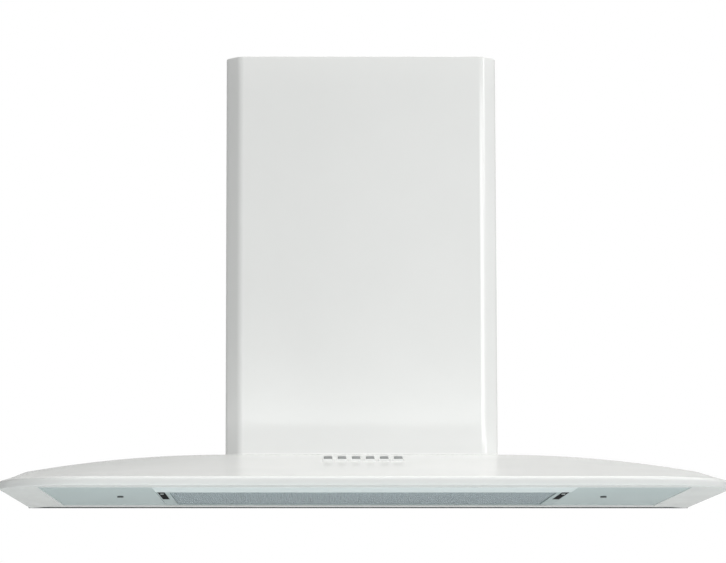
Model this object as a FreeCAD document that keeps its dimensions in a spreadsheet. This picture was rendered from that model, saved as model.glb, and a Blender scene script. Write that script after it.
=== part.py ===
import FreeCAD, Part
import Sketcher
import math
import os
import re

# A wall-mounted chimney hood with a curved, pillow-shaped canopy.
# Every sub-part is drawn in hood coordinates: X to the right, Y = 0 on the wall and
# negative towards the cook, Z = 0 on the underside of the canopy. Each one is then
# lowered by mount_height, which puts the origin at the centre of the wall screws.

V = FreeCAD.Vector

DIMENSIONS = {
    # canopy
    "canopy_width": 900,
    "canopy_depth": 500,
    "corner_radius": 115,
    "lip_height": 10,
    "crown_height": 54,
    "crown_drop": 26,
    "shoulder_width": 24,
    "canopy_sheet": 1.5,
    "side_border": 53,
    "front_border": 51,
    "rear_border": 60,
    "roof_opening_half": 146.5,
    "roof_opening_front": 252,
    # chimney
    "chimney_width": 350,
    "chimney_depth": 260,
    "chimney_top": 572,
    "corner_bevel": 18,
    "bend_radius": 13,
    "cover_sheet": 1.2,
    "rear_return": 15,
    "slide_gap": 1,
    "upper_bottom": 130,
    "upper_top": 570,
    "foot_width": 30,
    "foot_front": 140,
    "foot_rise": 30,
    "bracket_bottom": 540,
    "bracket_top": 562,
    "bracket_depth": 18,
    "bracket_hole_pitch": 200,
    # wall frame
    "mount_height": 190,
    "frame_half": 145,
    "frame_plate": 2,
    "frame_top": 372,
    "frame_lip": 14,
    "wall_hole_pitch": 240,
    "wall_hole_rise": 320,
    "wall_hole_radius": 4,
    # blower box
    "box_half": 146,
    "box_front": 250,
    "box_top": 302,
    "box_flange": 12,
    # blower
    "scroll_y": 110,
    "scroll_z": 174,
    "scroll_radius": 92,
    "scroll_step": 10,
    "scroll_wall": 2,
    "scroll_half": 62,
    "inlet_radius": 66,
    "inlet_lip": 5,
    "wheel_radius": 80,
    "wheel_half": 54,
    "wheel_ring": 2,
    "blade_depth": 13,
    "blade_sheet": 1,
    "blade_count": 40,
    "blade_lean": 9,
    "hub_radius": 11,
    "hub_end": 16,
    "shaft_radius": 4,
    "running_gap": 0.05,
    "motor_radius": 42,
    "motor_outer": 76,
    "motor_inner": 8,
    "motor_edge": 4,
    "arm_width": 10,
    "arm_sheet": 2,
    "arm_reach": 77,
    "capacitor_radius": 15,
    "capacitor_length": 60,
    "capacitor_y": 50,
    "capacitor_z": 110,
    # outlet collar and flaps
    "collar_radius": 74.5,
    "collar_wall": 2,
    "collar_top": 430,
    "collar_y": 171,
    "collar_flange_half": 77,
    "flap_level": 341.5,
    "flap_radius": 71,
    "flap_sheet": 1.2,
    "knuckle_radius": 3,
    "knuckle_span": 120,
    "knuckle_count": 5,
    "knuckle_gap": 0.5,
    "pin_radius": 1.5,
    "stop_ledge": 3,
    # terminal box
    "terminal_front": 150,
    "terminal_back": 70,
    "terminal_low": 180,
    "terminal_high": 250,
    "terminal_depth": 20,
    "terminal_wall": 1.5,
    "block_height": 7,
    "block_inset": 7.5,
    "gland_radius": 8,
    "gland_bore": 4,
    "gland_wall": 2,
    "gland_length": 18,
    # underside
    "panel_sheet": 1.2,
    "panel_overlap": 10,
    "bay_half": 260,
    "bay_rear": 59,
    "post_x": 309,
    "post_y": 250,
    "post_radius": 6,
    "post_bore_depth": 15,
    "post_top": 45,
    "knob_radius": 4,
    "knob_height": 2,
    "screw_radius": 1.7,
    "screw_length": 11.25,
    "rail_web_front": 343.4,
    "rail_sheet": 1.2,
    "rail_top": 15.7,
    "rail_reach": 275,
    "rail_flange": 15,
    # lamps
    "cover_half": 259,
    "cover_low": 0.5,
    "cover_plate": 2,
    "cover_front": 448,
    "cover_back": 343.8,
    "cover_tongue": 8,
    "rib_margin": 26,
    "lamp_x": 128,
    "lamp_y": 375,
    "lamp_z": 16.5,
    "bulb_radius": 11,
    "bulb_length": 85,
    "cap_radius": 7,
    "cap_length": 20,
    "holder_radius": 12,
    "holder_length": 34,
    # filter
    "filter_half": 259,
    "filter_front": 341,
    "filter_rear": 61,
    "filter_low": 1,
    "filter_high": 11,
    "filter_bar": 12,
    "filter_end_bar": 16,
    "grille_sheet": 1,
    "slot_length": 112,
    "slot_width": 4,
    "slot_pitch": 8.5,
    "slot_rows": 30,
    "slot_columns": 4,
    "mesh_low": 2.5,
    "mesh_high": 9,
    "mesh_layers": 5,
    "mesh_sheet": 0.3,
    "hinge_y": 68,
    "hinge_z": 6,
    "hinge_radius": 2.5,
    "hinge_gap": 0.06,
    "ear_inner": 262,
    "ear_outer": 265,
    "ear_foot": 280,
    # latches
    "latch_x": 253,
    "latch_width": 9,
    "latch_rear": 188,
    "latch_high": 8.5,
    "window_front": 310,
    "window_rear": 284,
    "thumb_length": 12,
    "bolt_width": 4,
    "bolt_low": 3.5,
    "bolt_high": 7.5,
    "bolt_tip": 343.2,
    "bolt_tail": 286,
    "bolt_play": 0.4,
    # buttons
    "button_count": 6,
    "button_pitch": 17.6,
    "button_y": 330,
    "button_width": 10.7,
    "button_depth": 8,
    "button_top": 5.6,
    "button_foot": 8,
    "bezel_top": 2.6,
    "bezel_wall": 0.9,
    "bezel_lip": 0.7,
    "bezel_sleeve": 6,
    "block_top": 1.6,
    "block_floor": 14.5,
    "block_margin": 5,
    "board_sheet": 1.6,
    "switch_size": 6,
    "switch_height": 4.2,
    # small screws
    "screw_head": 4,
    "screw_head_height": 2,
}

doc = FreeCAD.newDocument("ChimneyHood")
sheet = doc.addObject("Spreadsheet::Sheet", "Dimensions")
for row, (alias, amount) in enumerate(DIMENSIONS.items(), start=1):
    sheet.set("A%d" % row, alias)
    sheet.set("B%d" % row, str(amount))
    sheet.setAlias("B%d" % row, alias)
doc.recompute()

sub_parts = []

# how close two lengths must be for an edge to count as found, in mm
TOLERANCE = 0.01


# ---------------------------------------------------------------- helpers

def cell(alias):
    """The value of one driving dimension."""
    return float(sheet.get(alias))


def ref(expression):
    """The expression with every alias pointed at the sheet."""
    def point(match):
        word = match.group(0)
        return "Dimensions." + word if word in DIMENSIONS else word
    return re.sub(r"[a-z_]+", point, expression)


def sub_part(item, label, x="0", y="0", z="0", rotation=None):
    """Name a finished sub-part and set it where it belongs on the hood."""
    item.Label = label
    if rotation:
        item.Placement = FreeCAD.Placement(V(0, 0, 0), rotation)
    item.setExpression("Placement.Base.x", ref(x))
    item.setExpression("Placement.Base.y", ref(y))
    item.setExpression("Placement.Base.z", ref(z + " - mount_height"))
    sub_parts.append(item)
    return item


def box(x, y, z):
    """A block between two expressions along each axis."""
    item = doc.addObject("Part::Box", "block")
    for side, base, (low, high) in zip(("Length", "Width", "Height"), "xyz", (x, y, z)):
        item.setExpression(side, ref("(%s) - (%s)" % (high, low)))
        item.setExpression("Placement.Base." + base, ref(low))
    return item


TURNS = {
    "X": FreeCAD.Rotation(V(0, 1, 0), 90),
    "Y": FreeCAD.Rotation(V(1, 0, 0), -90),
    "Z": FreeCAD.Rotation(),
}


def cylinder(radius, length, start, axis="Z"):
    """A cylinder from its start point along the positive axis."""
    item = doc.addObject("Part::Cylinder", "round")
    item.Placement = FreeCAD.Placement(V(0, 0, 0), TURNS[axis])
    item.setExpression("Radius", ref(radius))
    item.setExpression("Height", ref(length))
    for base, place in zip("xyz", start):
        item.setExpression("Placement.Base." + base, ref(place))
    return item


def feature(shape, name="form"):
    """A form that only its own formula can describe."""
    item = doc.addObject("Part::Feature", name)
    item.Shape = shape
    return item


def fuse(*pieces):
    item = doc.addObject("Part::MultiFuse", "joined")
    item.Shapes = list(pieces)
    return item


def cut(base, *tools):
    item = doc.addObject("Part::Cut", "trimmed")
    item.Base = base
    item.Tool = tools[0] if len(tools) == 1 else fuse(*tools)
    return item


def group(*pieces):
    """Identical pieces that share one name but stay separate solids."""
    item = doc.addObject("Part::Compound", "set")
    item.Links = list(pieces)
    return item


def mirrored(side, near, far):
    """Two places along X in rising order, on the right (1) or the left (-1) of the hood."""
    ends = ["%d * (%s)" % (side, place) for place in (near, far)]
    return ends if side > 0 else ends[::-1]


def new_body(name):
    return doc.addObject("PartDesign::Body", name)


def sketch_on(body, role, offset="0"):
    """A sketch on one of the body's own origin planes, moved along its normal."""
    sketch = body.newObject("Sketcher::SketchObject", body.Name + "_sketch")
    plane = [item for item in body.Origin.OriginFeatures if item.Role == role][0]
    sketch.AttachmentSupport = [(plane, "")]
    sketch.MapMode = "FlatFace"
    sketch.setExpression("AttachmentOffset.Base.z", ref(offset))
    return sketch


def hold(sketch, edge, end, place):
    """Tie one sketch point to the origin by two bound distances."""
    at = sketch.getPoint(edge, end)
    for kind, start, expression in (("DistanceX", at.x, place[0]), ("DistanceY", at.y, place[1])):
        index = sketch.addConstraint(Sketcher.Constraint(kind, edge, end, start))
        sketch.setExpression("Constraints[%d]" % index, ref(expression))


def polygon(sketch, corners):
    """A closed outline whose corners are given by expressions."""
    count = len(corners)
    first = sketch.GeometryCount
    ring = [V(math.cos(2 * math.pi * k / count), math.sin(2 * math.pi * k / count), 0)
            for k in range(count)]
    for k in range(count):
        sketch.addGeometry(Part.LineSegment(ring[k], ring[(k + 1) % count]), False)
    for k in range(count):
        following = first + (k + 1) % count
        sketch.addConstraint(Sketcher.Constraint("Coincident", first + k, 2, following, 1))
    for k, corner in enumerate(corners):
        hold(sketch, first + k, 1, corner)


def rectangle(sketch, x0, y0, x1, y1):
    polygon(sketch, [(x0, y0), (x1, y0), (x1, y1), (x0, y1)])


def circle(sketch, radius, centre):
    edge = sketch.addGeometry(Part.Circle(V(0, 0, 0), V(0, 0, 1), 1), False)
    hold(sketch, edge, 3, centre)
    index = sketch.addConstraint(Sketcher.Constraint("Radius", edge, 1))
    sketch.setExpression("Constraints[%d]" % index, ref(radius))


def pad(body, sketch, length):
    item = body.newObject("PartDesign::Pad", body.Name + "_pad")
    item.Profile = sketch
    item.setExpression("Length", ref(length))
    doc.recompute()
    return item


def pocket(body, sketch, length):
    """A pocket cut along the sketch's own normal."""
    item = body.newObject("PartDesign::Pocket", body.Name + "_pocket")
    item.Profile = sketch
    item.setExpression("Length", ref(length))
    item.Reversed = True
    before = body.Shape.Volume
    doc.recompute()
    if body.Shape.Volume >= before:
        raise RuntimeError("a pocket of %s cuts nothing" % body.Name)
    return item


def rounded(body, radius, wanted):
    """Round those edges of the body for which wanted(edge) is true."""
    doc.recompute()
    base = body.Tip
    names = ["Edge%d" % number for number, edge in enumerate(base.Shape.Edges, start=1) if wanted(edge)]
    item = body.newObject("PartDesign::Fillet", body.Name + "_bends")
    item.Base = (base, names)
    item.setExpression("Radius", ref(radius))
    body.Tip = item
    doc.recompute()
    return item


# ---------------------------------------------------------------- canopy

CROWN_STATIONS = 72


def crown_solid(inset):
    """The closed pillow shape: a straight slope from the lip up to an arched ridge."""
    half = cell("canopy_width") / 2 - inset
    front = -cell("canopy_depth") + inset
    back = -inset
    radius = cell("corner_radius") - inset
    lip = cell("lip_height") - inset
    floor = inset
    rise = cell("crown_height") - cell("lip_height")
    ridge = -cell("chimney_depth")
    flat = cell("chimney_width") / 2
    shoulder = cell("shoulder_width") - inset

    def ridge_height(x):
        along = max(0, abs(x) - flat) / (half - flat)
        edge = max(0, 1 - (half - abs(x)) / shoulder)
        return lip + (rise - cell("crown_drop") * along ** 2) * math.sqrt(max(0, 1 - edge ** 2))

    def fold_y(x):
        past = max(0, abs(x) - (half - radius))
        return front + radius - math.sqrt(max(0, radius ** 2 - past ** 2))

    places = [k / CROWN_STATIONS for k in range(CROWN_STATIONS + 1)]
    across = [-half * math.cos(math.pi * place) for place in places]

    def rail(points):
        curve = Part.BSplineCurve()
        curve.interpolate(Points=points, Parameters=places)
        return curve.toShape()

    fold = rail([V(x, fold_y(x), lip) for x in across])
    foot = rail([V(x, fold_y(x), floor) for x in across])
    crest = rail([V(x, ridge, ridge_height(x)) for x in across])
    behind = crest.copy()
    behind.translate(V(0, back - ridge, 0))

    def plane_face(edges):
        return Part.Face(Part.Wire(Part.__sortEdges__(edges)))

    corner = front + radius
    faces = [
        Part.makeRuledSurface(fold, crest),
        Part.makeRuledSurface(crest, behind),
        Part.makeRuledSurface(foot, fold),
    ]
    for side in (-half, half):
        faces.append(plane_face([
            Part.makeLine(V(side, corner, floor), V(side, back, floor)),
            Part.makeLine(V(side, back, floor), V(side, back, lip)),
            Part.makeLine(V(side, back, lip), V(side, ridge, lip)),
            Part.makeLine(V(side, ridge, lip), V(side, corner, lip)),
            Part.makeLine(V(side, corner, lip), V(side, corner, floor)),
        ]))
    faces.append(plane_face([
        foot,
        Part.makeLine(V(half, corner, floor), V(half, back, floor)),
        Part.makeLine(V(half, back, floor), V(-half, back, floor)),
        Part.makeLine(V(-half, back, floor), V(-half, corner, floor)),
    ]))
    faces.append(plane_face([
        behind,
        Part.makeLine(V(half, back, lip), V(half, back, floor)),
        Part.makeLine(V(half, back, floor), V(-half, back, floor)),
        Part.makeLine(V(-half, back, floor), V(-half, back, lip)),
    ]))
    shell = Part.makeShell(faces)
    shell.sewShape()
    solid = Part.Solid(shell)
    if solid.Volume < 0:
        solid.reverse()
    return solid


def slope_angle():
    """The tilt of the canopy's front slope, in degrees."""
    rise = cell("crown_height") - cell("lip_height")
    run = cell("canopy_depth") - cell("chimney_depth")
    return math.degrees(math.atan2(rise, run))


def slope_rotation():
    return FreeCAD.Rotation(V(1, 0, 0), slope_angle())


SLOPE_Z = ("(lip_height + (crown_height - lip_height) * (canopy_depth - button_y)"
           " / (canopy_depth - chimney_depth))")


def button_x(index):
    return "%s * button_pitch" % (index - (cell("button_count") - 1) / 2)


def button_range():
    return range(int(cell("button_count")))


def slot_cutter(index):
    """The hole in the slope for one button, a little larger than the bezel's sleeve."""
    wide = cell("button_width") + 2 * cell("bezel_wall") + 2 * cell("running_gap")
    deep = cell("button_depth") + 2 * cell("bezel_wall") + 2 * cell("running_gap")
    reach = cell("canopy_sheet") * 4
    item = doc.addObject("Part::Feature", "slot")
    item.Shape = Part.makeBox(wide, deep, 2 * reach, V(-wide / 2, -deep / 2, -reach))
    item.Placement = FreeCAD.Placement(V(0, 0, 0), slope_rotation())
    item.setExpression("Placement.Base.x", ref(button_x(index)))
    item.setExpression("Placement.Base.y", ref("-button_y"))
    item.setExpression("Placement.Base.z", ref(SLOPE_Z))
    return item


def canopy_shell():
    skin = cut(feature(crown_solid(0)), feature(crown_solid(cell("canopy_sheet"))))
    opening = box(("side_border - canopy_width / 2", "canopy_width / 2 - side_border"),
                  ("front_border - canopy_depth", "-rear_border"),
                  ("-canopy_sheet", "2 * canopy_sheet"))
    roof = box(("-roof_opening_half", "roof_opening_half"),
               ("-roof_opening_front", "frame_plate"),
               ("canopy_sheet", "crown_height + canopy_sheet"))
    slots = [slot_cutter(index) for index in button_range()]
    sub_part(cut(skin, opening, roof, *slots), "canopy_shell")


# ---------------------------------------------------------------- underside

def underside_panel():
    """The inset panel: two wings and a rear strip around the filter bay."""
    body = new_body("panel")
    outer = sketch_on(body, "XY_Plane", "canopy_sheet")
    wing = "(canopy_width / 2 - side_border + panel_overlap)"
    front = "front_border - canopy_depth - panel_overlap"
    rear = "panel_overlap - rear_border"
    polygon(outer, [("-" + wing, front), ("-bay_half", front), ("-bay_half", "-bay_rear"),
                    ("bay_half", "-bay_rear"), ("bay_half", front), (wing, front),
                    (wing, rear), ("-" + wing, rear)])
    pad(body, outer, "panel_sheet")
    holes = sketch_on(body, "XY_Plane", "canopy_sheet")
    for side in ("", "-"):
        circle(holes, "screw_radius + bolt_play", (side + "post_x", "-post_y"))
    pocket(body, holes, "panel_sheet")
    sub_part(body, "underside_panel")


def panel_fixings():
    """Two posts under the canopy's roof, and the dark knob screws that hold the panel."""
    posts = []
    knobs = []
    foot = "canopy_sheet + panel_sheet"
    for side in ("", "-"):
        at = (side + "post_x", "-post_y")
        post = cylinder("post_radius", "post_top - " + foot.replace("+", "-"), at + (foot,))
        posts.append(cut(post, cylinder("screw_radius", "post_bore_depth", at + (foot,))))
        knobs.append(fuse(cylinder("knob_radius", "knob_height", at + ("canopy_sheet - knob_height",)),
                          cylinder("screw_radius", "screw_length", at + ("canopy_sheet",))))
    sub_part(group(*posts), "panel_posts")
    sub_part(group(*knobs), "panel_knob_screws")


def cross_rail():
    """The rail between the lamp cover and the filter, notched for the latch bolts."""
    body = new_body("rail")
    profile = sketch_on(body, "YZ_Plane", "-rail_reach")
    web = "-rail_web_front"
    back = "rail_sheet - rail_web_front"
    tail = "rail_flange - rail_web_front"
    low = "canopy_sheet + panel_sheet"
    polygon(profile, [(web, low), (back, low), (back, "rail_top - rail_sheet"),
                      (tail, "rail_top - rail_sheet"), (tail, "rail_top"), (web, "rail_top")])
    pad(body, profile, "2 * rail_reach")
    notches = sketch_on(body, "XZ_Plane", "rail_web_front - 2 * rail_sheet")
    for side in (-1, 1):
        ends = ["%d * latch_x %s latch_width * 2 / 3" % (side, sign) for sign in "-+"]
        rectangle(notches, ends[0], "0", ends[1], "filter_high")
    pocket(body, notches, "4 * rail_sheet")
    sub_part(body, "cross_rail")


def lamp_cover():
    """The pale strip between the front border and the filter."""
    plate = box(("-cover_half", "cover_half"), ("-cover_front", "-cover_back"),
                ("cover_low", "cover_low + cover_plate"))
    tongue = box(("-cover_half", "cover_half"),
                 ("-cover_front - cover_tongue", "-cover_front + cover_tongue"),
                 ("canopy_sheet", "canopy_sheet + cover_plate"))
    rib = box(("rib_margin - cover_half", "cover_half - rib_margin"),
              ("-cover_back - cover_plate", "-cover_back"),
              ("cover_low", "rail_top - cover_plate"))
    sub_part(fuse(plate, tongue, rib), "lamp_cover")


def lamp_shield():
    """The sheet on the rail that keeps the lamps out of the air stream."""
    slope = "(crown_height - lip_height) / (canopy_depth - chimney_depth)"
    top = "lip_height - 3 * canopy_sheet + (canopy_depth - rail_web_front) * " + slope
    sub_part(group(box(("-bay_half", "bay_half"), ("-rail_web_front", "rail_sheet - rail_web_front"),
                       ("rail_top", top))), "lamp_shield")


def lamps():
    """Two tubular lamps, each with its screw cap in a holder that stands on the shield."""
    centre = ("-lamp_y", "lamp_z")
    tip = "lamp_x + bulb_length / 2"
    socket = tip + " + cap_length / 5"
    arm = socket + " + holder_length / 2"
    for side, word in ((-1, "left"), (1, "right")):
        def low_end(near, length):
            return near if side > 0 else "-(%s) - (%s)" % (near, length)

        def rod(radius, near, length):
            return cylinder(radius, length, (low_end(near, length),) + centre, "X")

        bulb = doc.addObject("Part::Fillet", "bulb")
        bulb.Base = rod("bulb_radius", "lamp_x - bulb_length / 2", "bulb_length")
        bulb.Edges = [(edge, cell("bulb_radius") / 2, cell("bulb_radius") / 2) for edge in (1, 3)]
        sub_part(group(bulb), "lamp_bulb_" + word)
        sub_part(group(rod("cap_radius", tip, "cap_length")), "lamp_cap_" + word)
        start = low_end(arm, "holder_length / 3")
        block = box((start, start + " + holder_length / 3"), ("-lamp_y", "-rail_web_front"),
                    ("rail_top", "lamp_z + holder_radius / 2"))
        holder = fuse(rod("holder_radius", socket, "holder_length"), block)
        sub_part(cut(holder, rod("cap_radius", tip, "cap_length")), "lamp_holder_" + word)


# ---------------------------------------------------------------- filter

def filter_frame():
    """The cassette's frame, with a pocket for a latch at each end."""
    body = new_body("cassette")
    outer = sketch_on(body, "XY_Plane", "filter_low")
    rectangle(outer, "-filter_half", "-filter_front", "filter_half", "-filter_rear")
    pad(body, outer, "filter_high - filter_low")
    window = sketch_on(body, "XY_Plane", "filter_low")
    rectangle(window, "filter_end_bar - filter_half", "filter_bar - filter_front",
              "filter_half - filter_end_bar", "-filter_rear - filter_bar")
    pocket(body, window, "filter_high - filter_low")
    seats = sketch_on(body, "XY_Plane", "filter_low")
    for side in (-1, 1):
        ends = ["%d * latch_x %s latch_width / 2" % (side, sign) for sign in "-+"]
        rectangle(seats, ends[0], "-filter_front", ends[1], "-latch_rear")
    pocket(body, seats, "latch_high - filter_low")
    for side in (-1, 1):
        start = "-filter_half" if side < 0 else "filter_half - filter_end_bar / 2"
        bores = sketch_on(body, "YZ_Plane", start)
        circle(bores, "hinge_radius", ("-hinge_y", "hinge_z"))
        pocket(body, bores, "filter_end_bar / 2")
    sub_part(body, "filter_frame")


def filter_layers():
    """The finely slotted lower grille, the mesh pack above it and the upper retaining sheet."""
    left = "filter_end_bar - filter_half"
    right = "filter_half - filter_end_bar"
    front = "filter_bar - filter_front"
    rear = "-filter_rear - filter_bar"
    body = new_body("grille")
    sheet_outline = sketch_on(body, "XY_Plane", "filter_low + grille_sheet / 2")
    rectangle(sheet_outline, left, front, right, rear)
    pad(body, sheet_outline, "grille_sheet")
    row = sketch_on(body, "XY_Plane", "filter_low + grille_sheet / 2")
    column_pitch = "(filter_half - filter_end_bar) * 2 / slot_columns"
    first = "-(filter_front + filter_rear + (slot_rows - 1) * slot_pitch) / 2"
    for column in range(int(cell("slot_columns"))):
        middle = "(%s) * %s" % (column - (cell("slot_columns") - 1) / 2, column_pitch)
        rectangle(row, middle + " - slot_length / 2", first + " - slot_width / 2",
                  middle + " + slot_length / 2", first + " + slot_width / 2")
    slots = pocket(body, row, "grille_sheet")
    repeated = body.newObject("PartDesign::LinearPattern", "slot_rows")
    repeated.Originals = [slots]
    repeated.Direction = (row, ["V_Axis"])
    repeated.setExpression("Length", ref("(slot_rows - 1) * slot_pitch"))
    repeated.setExpression("Occurrences", ref("slot_rows"))
    body.Tip = repeated
    sub_part(body, "filter_grille")
    layers = []
    pitch = "(mesh_high - mesh_low - mesh_sheet) / (mesh_layers - 1)"
    for layer in range(int(cell("mesh_layers"))):
        low = "mesh_low + %d * %s" % (layer, pitch)
        layers.append(box((left, right), (front, rear), (low, low + " + mesh_sheet")))
    sub_part(group(*layers), "filter_mesh")
    filter_retainer(left, front, right, rear)


def filter_retainer(left, front, right, rear):
    """The open upper sheet, two windows wide, that holds the mesh down."""
    body = new_body("retainer")
    outline = sketch_on(body, "XY_Plane", "mesh_high")
    rectangle(outline, left, front, right, rear)
    pad(body, outline, "grille_sheet")
    windows = sketch_on(body, "XY_Plane", "mesh_high")
    for low, high in ((left + " + filter_bar", "-filter_bar / 2"),
                      ("filter_bar / 2", right + " - filter_bar")):
        rectangle(windows, low, front + " + filter_bar", high, rear + " - filter_bar")
    pocket(body, windows, "grille_sheet")
    sub_part(body, "filter_retainer")


def filter_hinges():
    """Two pins in the cassette's rear corners and the ears that carry them."""
    pins = []
    low = "canopy_sheet + panel_sheet"
    depth = ("-hinge_y - 3 * hinge_radius", "-hinge_y + 3 * hinge_radius")
    axis = ("-hinge_y", "hinge_z")
    for side, word in ((-1, "left"), (1, "right")):
        pin_ends = mirrored(side, "filter_half - filter_end_bar / 2", "ear_outer")
        plate_ends = mirrored(side, "ear_inner", "ear_outer")
        foot_ends = mirrored(side, "ear_inner", "ear_foot")
        length = "ear_outer - filter_half + filter_end_bar / 2"
        pins.append(cylinder("hinge_radius", length, (pin_ends[0],) + axis, "X"))
        ear = fuse(box(plate_ends, depth, (low, "2 * hinge_z")),
                   box(foot_ends, depth, (low, low + " + panel_sheet")))
        hole = cylinder("hinge_radius + hinge_gap", "ear_outer - ear_inner", (plate_ends[0],) + axis, "X")
        sub_part(cut(ear, hole), "hinge_ear_" + word)
    sub_part(group(*pins), "filter_hinge_pins")


def latches():
    """At each end of the filter a black housing and the sliding bolt inside it."""
    thumb_front = "-window_front + bolt_play"
    for side, word in ((-1, "left"), (1, "right")):
        def across(half):
            return ("%d * latch_x - (%s)" % (side, half), "%d * latch_x + (%s)" % (side, half))

        shell = box(across("latch_width / 2"), ("-filter_front", "-latch_rear"),
                    ("filter_low", "latch_high"))
        window = box(across("bolt_width / 2 + bolt_play"), ("-window_front", "-window_rear"),
                     ("0", "bolt_low"))
        channel = box(across("bolt_width / 2 + bolt_play"),
                      ("-filter_front - bolt_play", "-bolt_tail + window_front - window_rear"),
                      ("bolt_low - bolt_play", "bolt_high + bolt_play"))
        sub_part(cut(shell, window, channel), "latch_housing_" + word)
        bolt = box(across("bolt_width / 2"), ("-bolt_tip", "-bolt_tail"), ("bolt_low", "bolt_high"))
        thumb = box(across("bolt_width / 2"), (thumb_front, thumb_front + " + thumb_length"),
                    ("filter_low - bolt_play", "bolt_low"))
        sub_part(fuse(bolt, thumb), "latch_slider_" + word)


# ---------------------------------------------------------------- buttons

def push_buttons():
    """Six caps with a wider foot, each in its own hole in the slope."""
    for index in button_range():
        body = new_body("button")
        foot = sketch_on(body, "XY_Plane", "-button_foot")
        reach_x = "(button_width / 2 + bezel_wall / 2)"
        reach_y = "(button_depth / 2 + bezel_wall / 2)"
        rectangle(foot, "-" + reach_x, "-" + reach_y, reach_x, reach_y)
        pad(body, foot, "button_foot - bezel_sleeve - 2 * running_gap")
        cap = sketch_on(body, "XY_Plane", "-button_foot")
        rectangle(cap, "-button_width / 2 + running_gap", "-button_depth / 2 + running_gap",
                  "button_width / 2 - running_gap", "button_depth / 2 - running_gap")
        pad(body, cap, "button_foot + button_top")
        rounded(body, "bezel_wall", lambda edge: edge.BoundBox.ZMax > cell("button_top") - TOLERANCE)
        name = "push_button_%d" % (index + 1)
        sub_part(body, name, button_x(index), "-button_y", SLOPE_Z, slope_rotation())


def button_bezels():
    """Six raised rims, each with a sleeve that lines its hole."""
    half_x = cell("button_width") / 2
    half_y = cell("button_depth") / 2
    wall = cell("bezel_wall")
    lip = wall + cell("bezel_lip")
    sleeve = cell("bezel_sleeve")

    def block(grow, low, high):
        corner = V(-half_x - grow, -half_y - grow, low)
        return Part.makeBox(2 * (half_x + grow), 2 * (half_y + grow), high - low, corner)

    rims = []
    for index in button_range():
        rim = block(lip, 0, cell("bezel_top")).fuse(block(wall, -sleeve, 0)).removeSplitter()
        rim = rim.cut(block(0, -2 * sleeve, 2 * sleeve))
        rim.translate(V((index - (cell("button_count") - 1) / 2) * cell("button_pitch"), 0, 0))
        rims.append(rim)
    rims = feature(Part.makeCompound(rims))
    sub_part(rims, "button_bezels", "0", "-button_y", SLOPE_Z, slope_rotation())


def switch_block():
    """Under the slope: a block with a well for each button, its board and switches."""
    half_long = "((button_count - 1) / 2 * button_pitch + button_width / 2 + block_margin)"
    half_wide = "(button_depth / 2 + block_margin)"
    body = new_body("block")
    outline = sketch_on(body, "XY_Plane", "-block_floor")
    rectangle(outline, "-" + half_long, "-" + half_wide, half_long, half_wide)
    pad(body, outline, "block_floor - block_top")
    wells = sketch_on(body, "XY_Plane", "-block_floor")
    for index in button_range():
        reach_x = "(button_width / 2 + bezel_wall + bolt_play)"
        reach_y = "(button_depth / 2 + bezel_wall + bolt_play)"
        rectangle(wells, button_x(index) + " - " + reach_x, "-" + reach_y,
                  button_x(index) + " + " + reach_x, reach_y)
    pocket(body, wells, "block_floor - block_top")
    sub_part(body, "button_block", "0", "-button_y", SLOPE_Z, slope_rotation())

    board = new_body("board")
    edge = sketch_on(board, "XY_Plane", "-block_floor - board_sheet")
    rectangle(edge, "-" + half_long, "-" + half_wide, half_long, half_wide)
    pad(board, edge, "board_sheet")
    sub_part(board, "control_board", "0", "-button_y", SLOPE_Z, slope_rotation())

    switches = []
    for index in button_range():
        middle = button_x(index)
        base = box((middle + " - switch_size / 2", middle + " + switch_size / 2"),
                   ("-switch_size / 2", "switch_size / 2"),
                   ("-block_floor", "-block_floor + switch_height"))
        switches.append(base)
    sub_part(group(*switches), "push_switches", "0", "-button_y", SLOPE_Z, slope_rotation())


# ---------------------------------------------------------------- wall frame and box

def wall_frame():
    """The plate that is screwed to the wall and carries the hood."""
    body = new_body("frame")
    profile = sketch_on(body, "YZ_Plane", "-frame_half")
    polygon(profile, [("0", "canopy_sheet"), ("0", "frame_top"), ("-frame_lip", "frame_top"),
                      ("-frame_lip", "frame_top - frame_plate"), ("-frame_plate", "frame_top - frame_plate"),
                      ("-frame_plate", "canopy_sheet")])
    pad(body, profile, "2 * frame_half")
    holes = sketch_on(body, "XZ_Plane", "0")
    for side in ("-", ""):
        for level in "-+":
            circle(holes, "wall_hole_radius",
                   (side + "wall_hole_pitch / 2", "mount_height %s wall_hole_rise / 2" % level))
    pocket(body, holes, "frame_plate")
    sub_part(body, "wall_frame")


def blower_box():
    """The sheet box over the roof opening, open below, that holds the blower."""
    outer = box(("-box_half", "box_half"), ("-box_front", "-frame_plate"), ("crown_height", "box_top"))
    flange = box(("-box_half - box_flange", "box_half + box_flange"),
                 ("-box_front - box_flange / 2", "-frame_plate"),
                 ("crown_height", "crown_height + cover_sheet"))
    inner = box(("cover_sheet - box_half", "box_half - cover_sheet"),
                ("cover_sheet - box_front", "-frame_plate - cover_sheet"),
                ("0", "box_top - cover_sheet"))
    throat = box(("scroll_wall - scroll_half", "scroll_half - scroll_wall"),
                 ("-scroll_y - scroll_radius - 3 * scroll_step", "-scroll_y"),
                 ("box_top - 2 * cover_sheet", "box_top + cover_sheet"))
    sub_part(cut(fuse(outer, flange), inner, throat), "blower_box")


# ---------------------------------------------------------------- blower

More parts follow.
